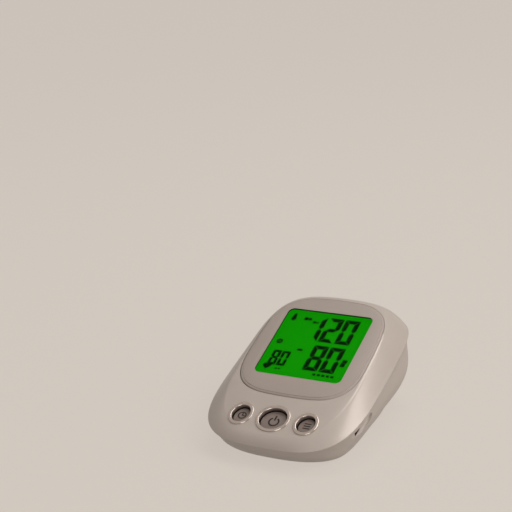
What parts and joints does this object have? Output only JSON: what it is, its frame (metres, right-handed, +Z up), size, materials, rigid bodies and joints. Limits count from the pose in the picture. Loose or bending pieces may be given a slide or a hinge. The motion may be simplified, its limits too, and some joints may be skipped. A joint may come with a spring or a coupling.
{
  "type": "talking blood pressure monitor",
  "caption": "Desktop arm-cuff blood pressure monitor with a sloping green display, spoken read-out and oval keys; housing, pump, valve, loudspeaker and battery bay as separate pieces.",
  "frame": {"origin": "on the table below the middle of the housing, midway between its left and right sides", "axes": "+X to the right as the display is read, +Y to the raised rear, +Z up; the front edge with the keys is at -Y"},
  "size_m": [0.115, 0.1424, 0.0711],
  "materials": {
    "housing_plastic": "fine spark texture",
    "bezel_plastic": "fine matte",
    "window_clear": "clear acrylic",
    "lcd_glass": "green backlit liquid crystal",
    "guide_clear": "clear acrylic",
    "white_plastic": "natural",
    "foam": "closed-cell foam",
    "zebra_rubber": "striped elastomer",
    "board_green": "solder mask",
    "chip_black": "moulded",
    "capacitor_sleeve": "shrunk sleeve",
    "sensor_body": "moulded",
    "switch_body": "moulded",
    "key_plastic": "fine matte",
    "ring_chrome": "bright",
    "cell_wrap": "bare sleeve",
    "plated_steel": "nickel plated",
    "steel": "zinc plated",
    "iron": "stacked sheets",
    "magnet": "ferrite",
    "cone_paper": "pressed paper",
    "copper": "enamelled wire",
    "black_rubber": "matte",
    "tube_silicone": "translucent",
    "socket_plastic": "moulded"
  },
  "bodies": {
    "housing": {"air_manifold": "white_plastic", "air_socket": "socket_plastic", "battery_cells": "cell_wrap", "battery_contacts": "plated_steel", "battery_springs": "plated_steel", "board_screws": "steel", "button_ring_centre": "ring_chrome", "button_ring_left": "ring_chrome", "button_ring_right": "ring_chrome", "capacitors": "capacitor_sleeve", "case_screws": "steel", "check_valve": "black_rubber", "contact_strips": "zebra_rubber", "display_bezel": "bezel_plastic", "display_frame": "white_plastic", "display_gasket": "foam", "display_glass": "lcd_glass", "display_window": "window_clear", "light_guide": "guide_clear", "lower_shell": "housing_plastic", "main_board": "board_green", "motor_can": "steel", "motor_end_cap": "white_plastic", "motor_magnets": "magnet", "power_inlet": "socket_plastic", "pressure_sensor": "sensor_body", "processor_chip": "chip_black", "pump_case": "white_plastic", "pump_cover": "white_plastic", "pump_diaphragm": "black_rubber", "pump_sleeves": "black_rubber", "pump_valve_plate": "white_plastic", "rubber_feet": "black_rubber", "socket_nut": "plated_steel", "speaker_cone": "cone_paper", "speaker_frame": "steel", "speaker_gasket": "foam", "speaker_magnet": "magnet", "speaker_screws": "steel", "tact_switches": "switch_body", "tube_pump": "tube_silicone", "tube_sensor": "tube_silicone", "tube_socket": "tube_silicone", "tube_valve": "tube_silicone", "upper_shell": "housing_plastic", "valve_bobbin": "white_plastic", "valve_cap": "white_plastic", "valve_coil": "copper", "valve_spring": "steel", "valve_yoke": "steel", "voice_chip": "chip_black", "wobble_plate": "white_plastic"},
    "button_left": {"button_left": "key_plastic"},
    "button_centre": {"button_centre": "key_plastic"},
    "button_right": {"button_right": "key_plastic"},
    "battery_door": {"battery_door": "housing_plastic"},
    "pump_rotor": {"motor_shaft": "steel", "motor_armature": "iron", "pump_crank": "white_plastic"},
    "valve_core": {"valve_core": "steel"}
  },
  "joints": [
    {"name": "button_left_press", "type": "slide", "parent": "housing", "child": "button_left", "axis": [0, 0.3778, -0.9259], "range_m": [0, 0.001], "stiffness_N_per_m": 900, "springref_m": -0.0004},
    {"name": "button_centre_press", "type": "slide", "parent": "housing", "child": "button_centre", "axis": [0, 0.3778, -0.9259], "range_m": [0, 0.001], "stiffness_N_per_m": 900, "springref_m": -0.0004},
    {"name": "button_right_press", "type": "slide", "parent": "housing", "child": "button_right", "axis": [0, 0.3778, -0.9259], "range_m": [0, 0.001], "stiffness_N_per_m": 900, "springref_m": -0.0004},
    {"name": "battery_door_hinge", "type": "hinge", "parent": "housing", "child": "battery_door", "pos_m": [0, -0.0065, 0.002], "axis": [-1, 0, 0], "range_deg": [0, 85]},
    {"name": "pump_rotor_spin", "type": "hinge", "parent": "housing", "child": "pump_rotor", "pos_m": [0.042, 0.04, 0.034], "axis": [-1, 0, 0], "continuous": true},
    {"name": "valve_core_slide", "type": "slide", "parent": "housing", "child": "valve_core", "axis": [0, 1, 0], "range_m": [0, 0.0008], "stiffness_N_per_m": 150, "springref_m": -0.0006, "deforming": ["valve_spring"]}
  ]
}
